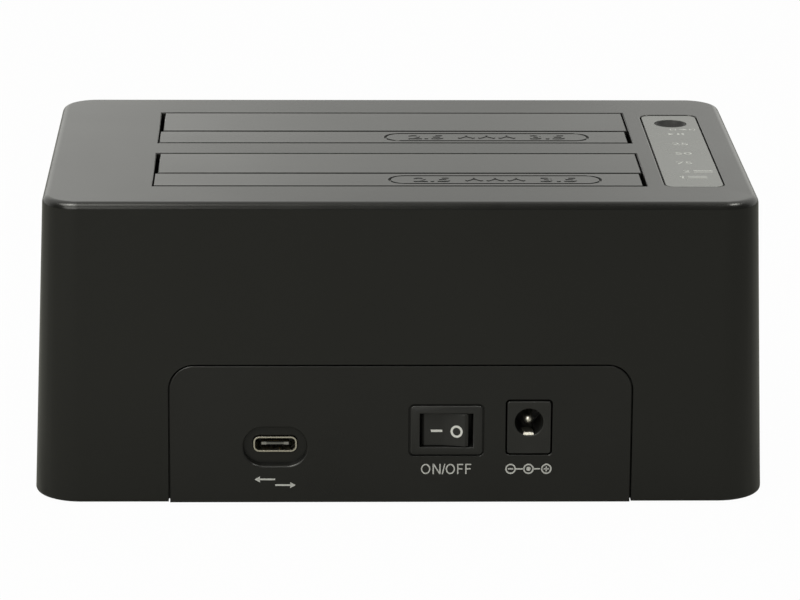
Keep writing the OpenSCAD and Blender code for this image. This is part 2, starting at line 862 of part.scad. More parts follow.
// Torsion spring: a short leg up to the top plate, the curls, and a long leg under the flap
coil_steps = 8;
coil_angle = 360 * coil_turns + 270;
coil_w = coil_pitch * coil_angle / 360;
leg_z = hinge_down - flap_t - wire_d / 2 - spring_gap;
coil_path = concat(
    [[0, -coil_d / 2, hinge_down - hinge_roof_t - wire_d / 2 - spring_gap]],
    [for (a = [0:360 / coil_steps:coil_angle])
        [coil_pitch * a / 360, -coil_d / 2 * cos(a), -coil_d / 2 * sin(a)]],
    [[coil_w, hinge_out, leg_z], [coil_w, hinge_out + spring_leg, leg_z]]
);
coil_gap = min([for (i = [0:len(coil_path) - 1], j = [i + 4:1:len(coil_path) - 1])
    norm(coil_path[i] - coil_path[j])]) - wire_d;

function unit(v) = v / norm(v);
function path_dir(p, i) = unit(p[min(i + 1, len(p) - 1)] - p[max(i - 1, 0)]);

// Round wire along a path that stays nearly square to X
module wire(p, d, sides) {
    rings = [for (i = [0:len(p) - 1])
        let (t = path_dir(p, i), n = unit([1, 0, 0] - t[0] * t), b = cross(t, n))
        [for (k = [0:sides - 1]) p[i] + d / 2 * (cos(360 * k / sides) * n + sin(360 * k / sides) * b)]];
    last = len(p) - 1;
    polyhedron(
        points = [for (r = rings) each r],
        faces = concat(
            [for (k = [1:sides - 2]) [0, k, k + 1]],
            [for (k = [1:sides - 2]) [last * sides, last * sides + k + 1, last * sides + k]],
            [for (i = [0:last - 1], k = [0:sides - 1])
                let (a = i * sides + k, b = i * sides + (k + 1) % sides)
                each [[a, a + sides, b], [b, a + sides, b + sides]]]
        )
    );
}

module flap_spring(bay, side) {
    echo(spring_gap_to_itself = coil_gap);
    color(steel) at_edge(bay, side)
        translate([-coil_w / 2, -hinge_out, -hinge_down]) wire(coil_path, wire_d, 6);
}

module rear_narrow_spring() {
    flap_spring(-1, -1);
}

module rear_wide_spring() {
    flap_spring(-1, 1);
}

module front_narrow_spring() {
    flap_spring(1, -1);
}

module front_wide_spring() {
    flap_spring(1, 1);
}

// Indicator strip and button

module indicator_strip() {
    color([0.4, 0.41, 0.4]) difference() {
        translate([strip_x, -strip_back, strip_top - strip_t])
            linear_extrude(height = strip_t) strip_outline(0);
        translate([strip_x, button_y, strip_top - strip_t - over])
            cylinder(d = button_d + 2 * button_clear, h = strip_t + 2 * over);
    }
}

button_lip_z = roof_z - button_gap;
plunger_z = button_lip_z - button_lip_t;

module copy_button() {
    rim = button_d / 2 - button_clear;
    dish_r = (rim * rim + dish_t * dish_t) / (2 * dish_t);
    color([0.05, 0.05, 0.05]) translate([strip_x, button_y, 0]) difference() {
        union() {
            translate([0, 0, plunger_z]) cylinder(d = button_d, h = strip_top - plunger_z);
            translate([0, 0, plunger_z]) cylinder(d = button_d + 2 * button_lip, h = button_lip_t);
        }
        translate([0, 0, strip_top - dish_t + dish_r]) sphere(dish_r, $fn = 96);
    }
}

module button_plunger() {
    low = strip_board_z + tact_h - button_travel;
    color([0.2, 0.2, 0.2]) translate([strip_x, button_y, low]) cylinder(d = plunger_d, h = plunger_z - low);
}

module button_switch() {
    color([0.6, 0.6, 0.6]) translate([strip_x, button_y, strip_board_z]) difference() {
        translate([-tact_w / 2, -tact_w / 2, 0]) cube([tact_w, tact_w, tact_h]);
        translate([0, 0, tact_h - 2 * button_travel - button_gap])
            cylinder(d = plunger_d + 2 * pin_clear, h = 2 * button_travel + over);
    }
}

module indicator_board() {
    color(green) difference() {
        translate([strip_x - strip_w / 2, boss_y[0] - boss_d / 2, strip_board_z - strip_board_t])
            cube([strip_w, button_y + tact_w - boss_y[0] + boss_d / 2, strip_board_t]);
        for (y = boss_y)
            translate([strip_x, y, strip_board_z - strip_board_t - over])
                cylinder(d = small_d + 4 * pin_clear, h = strip_board_t + 2 * over);
    }
}

module indicator_screws() {
    color(steel) for (y = boss_y)
        translate([strip_x, y, strip_board_z - strip_board_t])
            screw(small_d, small_l, small_head_d, small_head_t);
}

module light_pipes() {
    low = strip_board_z + light_h;
    color([0.8, 0.85, 0.9]) at_pipes() translate([0, 0, low]) {
        cylinder(d = pipe_d, h = strip_top - strip_t - low);
        cylinder(d = pipe_d + 2 * pipe_lip, h = roof_z - low);
    }
}

module status_lights() {
    color([0.9, 0.9, 0.8]) at_pipes() translate([-light_w / 2, -light_w / 2, strip_board_z])
        cube([light_w, light_w, light_h]);
}

module link_connectors() {
    color([0.85, 0.83, 0.75]) for (z = [board_z, plug_z])
        translate([strip_x - plug_w / 2, link_y - plug_l / 2, z]) cube([plug_w, plug_l, plug_h]);
}

module link_cable() {
    low = board_z + plug_h;
    color([0.75, 0.75, 0.72])
        translate([strip_x - cable_t / 2, link_y - cable_w / 2, low]) cube([cable_t, cable_w, plug_z - low]);
}

// Main board and what is on it

board_x = top_w / 2 + spread(board_z) - wall - board_clear;
board_front = -rear_y(board_z) - wall - board_clear;
part_y = (bay_y(1) + well_y + well_wall + board_front) / 2;

module main_board() {
    rear = rear_y(board_z) + wall + lip_t + board_gap;
    clear_x = post_x - post_d / 2 - board_notch;
    clear_y = post_y - post_d / 2 - board_notch;
    color(green) difference() {
        translate([0, 0, board_z - board_t]) linear_extrude(height = board_t) {
            translate([-board_x, -clear_y]) square([2 * board_x, 2 * clear_y]);
            translate([-clear_x, rear]) square([2 * clear_x, board_front - rear]);
        }
        at_ears() translate([0, 0, board_z - board_t - over])
            cylinder(d = screw_d + 4 * pin_clear, h = board_t + 2 * over);
    }
}

module board_screws() {
    ear_top = floor_z + ear_t;
    color(steel) at_ears() translate([0, 0, ear_top]) mirror([0, 0, 1])
        screw(screw_d, ear_top - base_top - head_t / 2, head_d, head_t);
}

module bridge_chip() {
    color([0.07, 0.07, 0.08])
        translate([bay_x + slot_l / 4 - chip_w / 2, bay_y(1) - chip_w / 2, board_z])
            cube([chip_w, chip_w, floor_gap - socket_clear]);
}

module capacitors() {
    color([0.25, 0.26, 0.3]) for (i = [-1:1])
        translate([bay_x - ear_x / 2 + i * (cap_d + cap_gap), part_y, board_z]) {
            cylinder(d = cap_d, h = cap_h);
            translate([-cap_d / 2, -cap_d / 2, 0]) cube([cap_d, cap_d, cap_foot]);
        }
}

module inductors() {
    color([0.3, 0.3, 0.31]) for (sx = [-1, 1])
        translate([bay_x + ear_x / 2 + sx * (choke_w + cap_gap) / 2, part_y, board_z]) {
            translate([-choke_w / 2, -choke_w / 2, 0]) cube([choke_w, choke_w, choke_h - core_h]);
            cylinder(d = core_d, h = choke_h);
        }
}

// Upright drive socket with a signal tongue and a power tongue
signal_pins = 7;
power_pins = 15;
signal_l = signal_pins * contact_pitch + 2 * contact_w;
power_l = power_pins * contact_pitch + 2 * contact_w;
signal_x = -(signal_l + tongue_gap + power_l) / 2;
power_x = signal_x + signal_l + tongue_gap;

module at_socket(bay) {
    translate([bay_x + socket_x, bay_y(bay) - slot_d / 2 + socket_in, board_z]) children();
}

module drive_socket(bay) {
    color([0.05, 0.05, 0.05]) at_socket(bay) {
        translate([-socket_l / 2, -socket_d / 2, 0]) cube([socket_l, socket_d, socket_base]);
        translate([signal_x, -tongue_t / 2, 0]) cube([signal_l, tongue_t, socket_h]);
        translate([power_x, -tongue_t / 2, 0]) cube([power_l, tongue_t, socket_h]);
        for (x = [signal_x, power_x])
            translate([x, -tongue_t / 2, 0]) cube([tongue_t, 2 * tongue_t, socket_h]);
        for (k = [0, 1]) mirror([k, 0, 0])
            translate([-socket_l / 2, -socket_d / 2, 0]) cube([2 * tongue_t, socket_d, socket_h]);
    }
}

module rear_drive_socket() {
    drive_socket(-1);
}

module front_drive_socket() {
    drive_socket(1);
}

module contact_row(x0, count) {
    for (i = [0:count - 1])
        translate([x0 + (i + 0.5) * contact_pitch + contact_w / 2, -tongue_t / 2 - contact_t, socket_base])
            cube([contact_w, contact_t, socket_h - socket_base - contact_w]);
}

module drive_contacts(bay) {
    color(gold) at_socket(bay) {
        contact_row(signal_x, signal_pins);
        contact_row(power_x, power_pins);
    }
}

module rear_drive_contacts() {
    drive_contacts(-1);
}

module front_drive_contacts() {
    drive_contacts(1);
}

// Rear panel and connectors

module rear_slab(t0, t1, half_x, z0, z1) {
    along_x(-half_x, half_x) polygon([
        [rear_y(z0) + t0, z0], [rear_y(z0) + t1, z0], [rear_y(z1) + t1, z1], [rear_y(z1) + t0, z1],
    ]);
}

module rear_panel() {
    lip_z = base_top + bite;
    lip_h = base_z + panel_h + panel_lip - lip_z;
    far = base_z + panel_h + panel_lip + over;
    color(black) difference() {
        union() {
            intersection() {
                rear_slab(0, wall + bite, panel_w, base_z, far);
                through_y(0, -top_d, 0, base_z) arched(panel_w, panel_h, panel_r);
            }
            intersection() {
                rear_slab(wall + bite / 2, wall + lip_t, panel_w, base_z, far);
                through_y(0, -top_d, 0, lip_z) arched(panel_w + 2 * panel_lip, lip_h, panel_r + panel_lip);
            }
        }
        through_y(data_x, -top_d, rear_y(data_z) + pocket_t, data_z - pocket_drop)
            stadium(pocket_w, pocket_h);
        through_y(data_x, -top_d, 0, data_z)
            rounded(data_w + 2 * port_clear, data_t + 2 * port_clear, data_r + port_clear);
        through_y(jack_x, -top_d, 0, jack_z)
            rounded(jack_w + 2 * face_clear, jack_t + 2 * face_clear, jack_r + face_clear);
        on_rear(switch_x, switch_z) rotate([90, 0, 0]) {
            linear_extrude(height = 2 * (wall + lip_t + over), center = true)
                square([body_w + 2 * port_clear, body_t + 2 * port_clear], center = true);
            linear_extrude(height = 2 * bezel_sunk, center = true)
                rounded(bezel_w + 2 * face_clear, bezel_h + 2 * face_clear, bezel_r + face_clear);
        }
    }
}

module data_socket_shell() {
    color(steel) {
        through_y(data_x, data_face, data_face + data_l, data_z) difference() {
            rounded(data_w, data_t, data_r);
            rounded(data_w - 2 * shell_t, data_t - 2 * shell_t, data_r - shell_t);
        }
        for (k = [0, 1], y = [data_l / 2, data_l - 5 * shell_t])
            translate([data_x, data_face + y, board_z]) mirror([k, 0, 0]) translate([-data_w / 2, 0, 0])
                cube([shell_t, 4 * shell_t, data_z - board_z]);
    }
}

module data_socket_tongue() {
    inner_w = data_w - 2 * shell_t - 2 * pin_clear;
    inner_t = data_t - 2 * shell_t - 2 * pin_clear;
    color([0.08, 0.08, 0.08]) {
        through_y(data_x, data_face + data_l - 2 * blade_t, data_face + data_l, data_z)
            rounded(inner_w, inner_t, data_r - shell_t - pin_clear);
        through_y(data_x, data_face + blade_t, data_face + data_l - blade_t, data_z)
            square([inner_w - inner_t, blade_t], center = true);
    }
}

// Ends of the terminal blades at the back of the switch body
module at_terminals() {
    for (x = [-terminal_x, terminal_x])
        translate([x, switch_l, 0]) children();
}

// Section across a bezel of the given width, with its sloping rim
module bezel_section(w) {
    polygon([
        [-w / 2, bezel_sunk - skin], [-w / 2, rim_t - bezel_proud], [rim_w - w / 2, -bezel_proud],
        [w / 2 - rim_w, -bezel_proud], [w / 2, rim_t - bezel_proud], [w / 2, bezel_sunk - skin],
    ]);
}

module switch_housing() {
    color(black) on_rear(switch_x, switch_z) difference() {
        union() {
            intersection() {
                rotate([90, 0, 0]) linear_extrude(height = 2 * over, center = true)
                    rounded(bezel_w, bezel_h, bezel_r);
                linear_extrude(height = bezel_h, center = true) bezel_section(bezel_w);
                rotate([0, 90, 0]) linear_extrude(height = bezel_w, center = true) bezel_section(bezel_h);
            }
            translate([-body_w / 2, 0, -body_t / 2]) cube([body_w, switch_l, body_t]);
        }
        translate([-mouth_w / 2, -over, -mouth_h / 2]) cube([mouth_w, mouth_l + over, mouth_h]);
        translate([0, pivot_in, 0])
            cylinder(d = pivot_d + 2 * pin_clear, h = mouth_h + 2 * pivot_l, center = true);
        at_terminals()
            translate([-terminal_w / 2 - pin_clear, -terminal_in - pin_clear, -terminal_t / 2 - pin_clear])
                cube([terminal_w + 2 * pin_clear, terminal_in + over, terminal_t + 2 * pin_clear]);
    }
}

// Rocker in its off position: the right end is pressed in
module switch_rocker() {
    end = mouth_w / 2 - rocker_gap;
    rocker_t = mouth_h - 2 * rocker_side;
    tip = rocker_sunk - pivot_in;
    dip = tip + rocker_dip;
    back = mouth_l - pivot_in - rocker_room;
    color([0.07, 0.07, 0.07]) on_rear(switch_x, switch_z) translate([0, pivot_in, 0]) rotate(-rocker_tilt) {
        linear_extrude(height = rocker_t, center = true) polygon([
            [-end, dip], [-end + rocker_nose, tip], [-rocker_nose, dip],
            [rocker_nose, dip], [end - rocker_nose, tip], [end, dip],
            [end - rocker_nose, rocker_nose], [rocker_nose, back],
            [-rocker_nose, back], [-end + rocker_nose, rocker_nose],
        ]);
        cylinder(d = pivot_d, h = rocker_t + 2 * pivot_l, center = true);
    }
}

module switch_terminals() {
    color(gold) on_rear(switch_x, switch_z) at_terminals()
        translate([-terminal_w / 2, -terminal_in, -terminal_t / 2])
            cube([terminal_w, terminal_in + terminal_l, terminal_t]);
}

leaf_z = barrel_h - barrel_d / 2;

module power_jack_body() {
    color([0.06, 0.06, 0.06]) translate([jack_x, jack_face, board_z]) difference() {
        through_y(0, 0, jack_l, jack_t / 2) rounded(jack_w, jack_t, jack_r);
        translate([0, -over, barrel_h]) rotate([-90, 0, 0]) cylinder(d = barrel_d, h = barrel_l + over);
        translate([-leaf_w / 2 - port_clear, leaf_back - port_clear, leaf_z - 4 * leaf_t])
            cube([leaf_w + 2 * port_clear, barrel_l - leaf_back + port_clear, 6 * leaf_t]);
        translate([0, barrel_l - over, barrel_h]) rotate([-90, 0, 0])
            cylinder(d = pin_d + 2 * pin_clear, h = jack_l);
    }
}

module power_jack_pin() {
    color(steel) translate([jack_x, jack_face + pin_back, board_z + barrel_h]) rotate([-90, 0, 0]) {
        translate([0, 0, pin_d / 2]) cylinder(d = pin_d, h = jack_l - pin_back - pin_d / 2);
        intersection() {
            translate([0, 0, pin_d / 2]) sphere(d = pin_d);
            cylinder(d = 2 * pin_d, h = pin_d / 2);
        }
    }
}

module power_jack_contact() {
    color(steel) translate([jack_x, jack_face, board_z + leaf_z]) along_x(-leaf_w / 2, leaf_w / 2) polygon([
        [leaf_back, 0], [leaf_back + leaf_t, leaf_t],
        [barrel_l, -2 * leaf_t], [barrel_l, -3 * leaf_t], [leaf_back, -leaf_t],
    ]);
}

upper_housing();
base_plate();
rear_panel();
rubber_feet();
housing_screws();
rear_bay_well();
front_bay_well();
rear_narrow_flap();
rear_wide_flap();
front_narrow_flap();
front_wide_flap();
rear_narrow_rod();
rear_wide_rod();
front_narrow_rod();
front_wide_rod();
rear_narrow_spring();
rear_wide_spring();
front_narrow_spring();
front_wide_spring();
indicator_strip();
copy_button();
button_plunger();
button_switch();
indicator_board();
indicator_screws();
light_pipes();
status_lights();
link_cable();
link_connectors();
main_board();
board_screws();
bridge_chip();
capacitors();
inductors();
rear_drive_socket();
front_drive_socket();
rear_drive_contacts();
front_drive_contacts();
data_socket_shell();
data_socket_tongue();
switch_housing();
switch_rocker();
switch_terminals();
power_jack_body();
power_jack_pin();
power_jack_contact();
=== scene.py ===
# Two-bay drive dock on a white sweep, seen from its connector side
import json
import math

import bmesh
import bpy
from mathutils import Matrix, Vector
from mathutils.bvhtree import BVHTree


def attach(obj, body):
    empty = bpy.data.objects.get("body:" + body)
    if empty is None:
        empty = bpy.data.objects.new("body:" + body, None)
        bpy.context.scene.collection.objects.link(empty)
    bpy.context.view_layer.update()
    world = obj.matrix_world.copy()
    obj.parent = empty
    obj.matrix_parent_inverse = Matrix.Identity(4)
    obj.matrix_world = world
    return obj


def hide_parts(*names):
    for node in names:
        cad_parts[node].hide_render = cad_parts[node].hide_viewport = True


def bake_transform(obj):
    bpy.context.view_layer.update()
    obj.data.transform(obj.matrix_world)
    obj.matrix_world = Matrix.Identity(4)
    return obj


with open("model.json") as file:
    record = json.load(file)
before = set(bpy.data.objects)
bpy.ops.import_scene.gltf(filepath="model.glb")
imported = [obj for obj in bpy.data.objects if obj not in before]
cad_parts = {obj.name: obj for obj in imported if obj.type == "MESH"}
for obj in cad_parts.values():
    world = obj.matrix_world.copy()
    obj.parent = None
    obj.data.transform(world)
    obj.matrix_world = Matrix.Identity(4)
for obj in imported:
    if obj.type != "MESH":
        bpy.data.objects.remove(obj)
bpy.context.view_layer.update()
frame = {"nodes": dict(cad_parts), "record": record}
nodes = frame["nodes"]
scene = bpy.context.scene
mm = 0.001

# Camera, fitted to the photograph's edges: mm and degrees, clip in metres
camera = {"place": (-23.162, -833.85, 268.20), "pitch": 15.918, "yaw": 1.665, "roll": -0.436, "lens": 179.886,
          "sensor": 36, "clip": (0.05, 20)}


def makeCamera():
    pitch, yaw, roll = (math.radians(camera[k]) for k in ("pitch", "yaw", "roll"))
    look = Vector((math.sin(yaw) * math.cos(pitch), math.cos(yaw) * math.cos(pitch), -math.sin(pitch)))
    side = Vector((math.cos(yaw), -math.sin(yaw), 0))
    rise = side.cross(look)
    data = bpy.data.cameras.new("photoCamera")
    data.sensor_fit = "HORIZONTAL"
    data.sensor_width = camera["sensor"]
    data.lens = camera["lens"]
    data.clip_start, data.clip_end = camera["clip"]
    holder = bpy.data.objects.new("photoCamera", data)
    scene.collection.objects.link(holder)
    across = side * math.cos(roll) - rise * math.sin(roll)
    upward = side * math.sin(roll) + rise * math.cos(roll)
    turn = Matrix((across, upward, -look)).transposed().to_4x4()
    holder.matrix_world = Matrix.Translation(Vector(camera["place"]) * mm) @ turn
    scene.camera = holder


makeCamera()
print("camera set")


# Node trees

def addNode(tree, kind, settings=None, **values):
    node = tree.nodes.new("ShaderNode" + kind)
    for key, value in (settings or {}).items():
        setattr(node, key, value)
    for key, value in values.items():
        node.inputs[key.replace("_", " ")].default_value = value
    return node


def wire(tree, start, end, source=0, target=0):
    tree.links.new(start.outputs[source], end.inputs[target])


def toMesh(bm, name):
    mesh = bpy.data.meshes.new(name)
    bm.to_mesh(mesh)
    bm.free()
    return mesh


# White sweep: bright behind the dock, dim above and towards the camera, a little shade straight behind

studio = {"front": 0.15, "back": 1.10, "tint": (1.0, 1.0, 0.955), "turn": (-0.16, 0.42), "shade": 0.62,
          "shadeX": 0.045, "shadeWide": 0.13}
sweep = {"size": 2.5, "tone": (0.25, 0.25, 0.232), "glow": 0.98}
lampTint = (1.0, 1.0, 0.93)
white = (1, 1, 1, 1)
lamps = [
    {"name": "leftUpper", "place": (-0.51, -0.32, 1.0), "aim": (-0.51, 0.0, 0.06),
     "size": (0.80, 0.64), "watts": 8.4},
    {"name": "leftLower", "place": (-0.51, -0.88, 0.50), "aim": (-0.51, 0.0, 0.06),
     "size": (0.80, 0.62), "watts": 5.0},
    {"name": "leftCore", "place": (-0.37, -0.29, 0.94), "aim": (-0.37, 0.0, 0.06),
     "size": (0.26, 0.30), "watts": 2.3},
    {"name": "rightCore", "place": (0.50, -0.17, 1.0), "aim": (0.50, 0.0, 0.06),
     "size": (0.30, 0.40), "watts": 4.9},
]


def makeStudio():
    world = bpy.data.worlds.new("whiteStudio")
    scene.world = world
    world.use_nodes = True
    tree = world.node_tree
    tree.nodes.clear()
    heading = addNode(tree, "TexCoord")
    parts = addNode(tree, "SeparateXYZ")
    wire(tree, heading, parts, "Generated")
    depth = addNode(tree, "MapRange", {"interpolation_type": "SMOOTHSTEP"}, From_Min=studio["turn"][0],
                    From_Max=studio["turn"][1], To_Min=studio["front"], To_Max=studio["back"])
    wire(tree, parts, depth, "Y", "Value")
    aside = addNode(tree, "Math", {"operation": "SUBTRACT"})
    aside.inputs[1].default_value = studio["shadeX"]
    wire(tree, parts, aside, "X")
    offset = addNode(tree, "Math", {"operation": "ABSOLUTE"})
    wire(tree, aside, offset)
    shade = addNode(tree, "MapRange", {"interpolation_type": "SMOOTHSTEP"}, From_Min=0.0,
                    From_Max=studio["shadeWide"], To_Min=studio["shade"], To_Max=1.0)
    wire(tree, offset, shade, 0, "Value")
    both = addNode(tree, "Math", {"operation": "MULTIPLY"})
    wire(tree, depth, both, 0, 0)
    wire(tree, shade, both, 0, 1)
    room = addNode(tree, "Background", Color=(*studio["tint"], 1))
    wire(tree, both, room, 0, "Strength")
    plain = addNode(tree, "Background", Color=white)  # what the camera sees
    ray = addNode(tree, "LightPath")
    pick = addNode(tree, "MixShader")
    wire(tree, ray, pick, "Is Camera Ray", 0)
    wire(tree, room, pick, 0, 1)
    wire(tree, plain, pick, 0, 2)
    wire(tree, pick, addNode(tree, "OutputWorld"))


def makeSweep():
    paper = bpy.data.materials.new("sweepPaper")
    paper.use_nodes = True
    tree = paper.node_tree
    tree.nodes.clear()
    matt = addNode(tree, "BsdfDiffuse", Color=(*sweep["tone"], 1))
    glow = addNode(tree, "Emission", Color=white)
    ray = addNode(tree, "LightPath")
    share = addNode(tree, "Math", {"operation": "MULTIPLY"})
    share.inputs[1].default_value = sweep["glow"]
    wire(tree, ray, share, "Is Camera Ray", 0)
    pick = addNode(tree, "MixShader")
    wire(tree, share, pick)
    wire(tree, matt, pick, 0, 1)
    wire(tree, glow, pick, 0, 2)
    wire(tree, pick, addNode(tree, "OutputMaterial"))
    bm = bmesh.new()
    bmesh.ops.create_grid(bm, x_segments=1, y_segments=1, size=sweep["size"])
    mesh = toMesh(bm, "sweepFloor")
    mesh.materials.append(paper)
    floor = bpy.data.objects.new("sweepFloor", mesh)
    scene.collection.objects.link(floor)


def makeLamps():
    for lamp in lamps:
        data = bpy.data.lights.new(lamp["name"], "AREA")
        data.shape = "RECTANGLE"
        data.size, data.size_y = lamp["size"]
        data.energy = lamp["watts"]
        data.color = lampTint
        holder = bpy.data.objects.new(lamp["name"], data)
        scene.collection.objects.link(holder)
        holder.location = lamp["place"]
        aim = Vector(lamp["aim"]) - Vector(lamp["place"])
        holder.rotation_euler = aim.to_track_quat("-Z", "Y").to_euler()


makeStudio()
makeSweep()
makeLamps()
scene.view_settings.view_transform = "Standard"
print("studio lit")


# Finishes

def startFinish(name):
    finish = bpy.data.materials.new(name)
    finish.use_nodes = True
    tree = finish.node_tree
    tree.nodes.clear()
    shader = addNode(tree, "BsdfPrincipled")
    wire(tree, shader, addNode(tree, "OutputMaterial"))
    return finish, tree, shader


def blendColours(tree, driver, low, high, shader):
    mix = addNode(tree, "Mix", {"data_type": "RGBA"})
    mix.inputs[6].default_value = (*low, 1)
    mix.inputs[7].default_value = (*high, 1)
    wire(tree, driver, mix)
    tree.links.new(mix.outputs[2], shader.inputs["Base Color"])


noiseLook = {"rough": 0.55, "range": (0.3, 0.7)}  # range: where most of a noise lies


def spread(tree, driver, low, high, shader, socket):
    start, end = noiseLook["range"]
    span = addNode(tree, "MapRange", From_Min=start, From_Max=end, To_Min=low, To_Max=high)
    wire(tree, driver, span, 0, "Value")
    wire(tree, span, shader, 0, socket)


def noise(tree, coords, size, detail=2.0, stretch=None):
    grain = addNode(tree, "TexNoise", Scale=1 / (size * mm), Detail=detail, Roughness=noiseLook["rough"])
    if stretch:
        pull = addNode(tree, "Mapping", Scale=stretch)
        wire(tree, coords, pull, "Object", "Vector")
        wire(tree, pull, grain, 0, "Vector")
    else:
        wire(tree, coords, grain, "Object", "Vector")
    return grain


def addRelief(tree, shader, look, relief, output):
    bump = addNode(tree, "Bump", Strength=look["press"], Distance=look["depth"] * mm)
    wire(tree, relief, bump, output, "Height")
    wire(tree, bump, shader, 0, "Normal")


# Tone and gloss follow one noise, the relief another or the same one
def dressShader(tree, shader, look, tone, relief):
    blendColours(tree, tone, look["deep"], look["pale"], shader)
    spread(tree, tone, *look["rough"], shader, "Roughness")
    addRelief(tree, shader, look, relief, 0)


# Moulded plastic: spark-eroded grain, slow drift of tone and gloss
def mouldedPlastic(name, look):
    finish, tree, shader = startFinish(name)
    coords = addNode(tree, "TexCoord")
    drift = noise(tree, coords, look["drift"])
    grain = noise(tree, coords, look["grain"], detail=3.0)
    dressShader(tree, shader, look, drift, grain)
    shader.inputs["IOR"].default_value = look["ior"]
    return finish


# Metal: drawn or plated, streaked along one direction
def streakedMetal(name, look):
    finish, tree, shader = startFinish(name)
    coords = addNode(tree, "TexCoord")
    streak = noise(tree, coords, look["grain"], stretch=look["stretch"])
    dressShader(tree, shader, look, streak, streak)
    shader.inputs["Metallic"].default_value = 1.0
    return finish


# Sizes in mm: drift of tone, grain and its depth
plastics = {
    "housing_plastic": {"deep": (0.0046, 0.0047, 0.0041), "pale": (0.0072, 0.0073, 0.0065), "drift": 38,
                        "rough": (0.22, 0.27), "grain": 0.42, "press": 0.35, "depth": 0.013, "ior": 1.46},
    "flap_plastic": {"deep": (0.0062, 0.0063, 0.0058), "pale": (0.0094, 0.0095, 0.0087), "drift": 30,
                     "rough": (0.20, 0.25), "grain": 0.40, "press": 0.35, "depth": 0.012, "ior": 1.52},
    "panel_plastic": {"deep": (0.0058, 0.0058, 0.0053), "pale": (0.0084, 0.0084, 0.0078), "drift": 26,
                      "rough": (0.27, 0.33), "grain": 0.36, "press": 0.35, "depth": 0.014, "ior": 1.46},
    "inner_plastic": {"deep": (0.010, 0.010, 0.010), "pale": (0.018, 0.018, 0.017), "drift": 20,
                      "rough": (0.45, 0.58), "grain": 0.6, "press": 0.4, "depth": 0.020, "ior": 1.45},
    "strip_plastic": {"deep": (0.082, 0.084, 0.080), "pale": (0.098, 0.100, 0.096), "drift": 14,
                      "rough": (0.24, 0.30), "grain": 0.25, "press": 0.2, "depth": 0.006, "ior": 1.52},
    "button_plastic": {"deep": (0.004, 0.004, 0.004), "pale": (0.007, 0.007, 0.007), "drift": 5,
                       "rough": (0.52, 0.60), "grain": 0.2, "press": 0.2, "depth": 0.004, "ior": 1.36},
    "switch_plastic": {"deep": (0.0105, 0.0105, 0.0100), "pale": (0.0150, 0.0150, 0.0145), "drift": 7,
                       "rough": (0.34, 0.42), "grain": 0.24, "press": 0.3, "depth": 0.010, "ior": 1.48},
    "jack_plastic": {"deep": (0.0105, 0.0105, 0.0100), "pale": (0.0160, 0.0160, 0.0152), "drift": 6,
                     "rough": (0.36, 0.46), "grain": 0.24, "press": 0.3, "depth": 0.010, "ior": 1.48},
    "socket_plastic": {"deep": (0.007, 0.007, 0.007), "pale": (0.012, 0.012, 0.012), "drift": 6,
                       "rough": (0.38, 0.50), "grain": 0.2, "press": 0.3, "depth": 0.008, "ior": 1.48},
    "plug_plastic": {"deep": (0.62, 0.57, 0.45), "pale": (0.72, 0.68, 0.57), "drift": 4,
                     "rough": (0.40, 0.50), "grain": 0.2, "press": 0.2, "depth": 0.006, "ior": 1.46},
    "cable_plastic": {"deep": (0.44, 0.44, 0.41), "pale": (0.58, 0.58, 0.55), "drift": 1.2,
                      "rough": (0.40, 0.52), "grain": 0.5, "press": 0.3, "depth": 0.020, "ior": 1.46},
    "foot_rubber": {"deep": (0.012, 0.012, 0.012), "pale": (0.024, 0.024, 0.023), "drift": 4,
                    "rough": (0.70, 0.85), "grain": 0.3, "press": 0.6, "depth": 0.030, "ior": 1.45},
    "chip_plastic": {"deep": (0.010, 0.010, 0.011), "pale": (0.016, 0.016, 0.017), "drift": 3,
                     "rough": (0.52, 0.62), "grain": 0.15, "press": 0.4, "depth": 0.010, "ior": 1.48},
    "ferrite": {"deep": (0.045, 0.045, 0.048), "pale": (0.075, 0.075, 0.078), "drift": 2,
                "rough": (0.50, 0.65), "grain": 0.3, "press": 0.5, "depth": 0.020, "ior": 1.6},
}
metals = {
    "can_metal": {"deep": (0.52, 0.52, 0.54), "pale": (0.66, 0.66, 0.68), "rough": (0.26, 0.36), "grain": 0.5,
                  "stretch": (1, 1, 0.08), "press": 0.2, "depth": 0.006},
    "screw_steel": {"deep": (0.50, 0.50, 0.50), "pale": (0.68, 0.68, 0.67), "rough": (0.24, 0.38), "grain": 0.4,
                    "stretch": (1, 1, 1), "press": 0.2, "depth": 0.006},
    "rod_steel": {"deep": (0.52, 0.52, 0.53), "pale": (0.66, 0.66, 0.67), "rough": (0.18, 0.28), "grain": 0.3,
                  "stretch": (0.05, 1, 1), "press": 0.2, "depth": 0.004},
    "shell_steel": {"deep": (0.60, 0.565, 0.48), "pale": (0.76, 0.72, 0.63), "rough": (0.24, 0.34), "grain": 0.3,
                    "stretch": (1, 0.1, 1), "press": 0.2, "depth": 0.004},
    "contact_metal": {"deep": (0.72, 0.50, 0.18), "pale": (0.86, 0.64, 0.28), "rough": (0.18, 0.28), "grain": 0.2,
                      "stretch": (1, 1, 0.2), "press": 0.2, "depth": 0.003},
    # tongue plate: steel made darker than the lugs' steel, painted shade along the middle of the tongue's edge
    "tongueSteelPaintedShade": {"deep": (0.24, 0.24, 0.235), "pale": (0.33, 0.33, 0.32), "rough": (0.30, 0.40), "grain": 0.3,
                    "stretch": (0.2, 1, 1), "press": 0.2, "depth": 0.004},
    # tongue lugs: the same steel made lighter, a painted highlight at the tongue's two ends
    "lugSteelPaintedHighlight": {"deep": (0.38, 0.375, 0.36), "pale": (0.48, 0.475, 0.46), "rough": (0.32, 0.42), "grain": 0.6,
                 "stretch": (0.4, 1, 1), "press": 0.1, "depth": 0.003},
    "pin_metal": {"deep": (0.84, 0.80, 0.70), "pale": (0.92, 0.89, 0.80), "rough": (0.34, 0.40), "grain": 1.6,
                  "stretch": (1, 0.3, 1), "press": 0.05, "depth": 0.003},
}


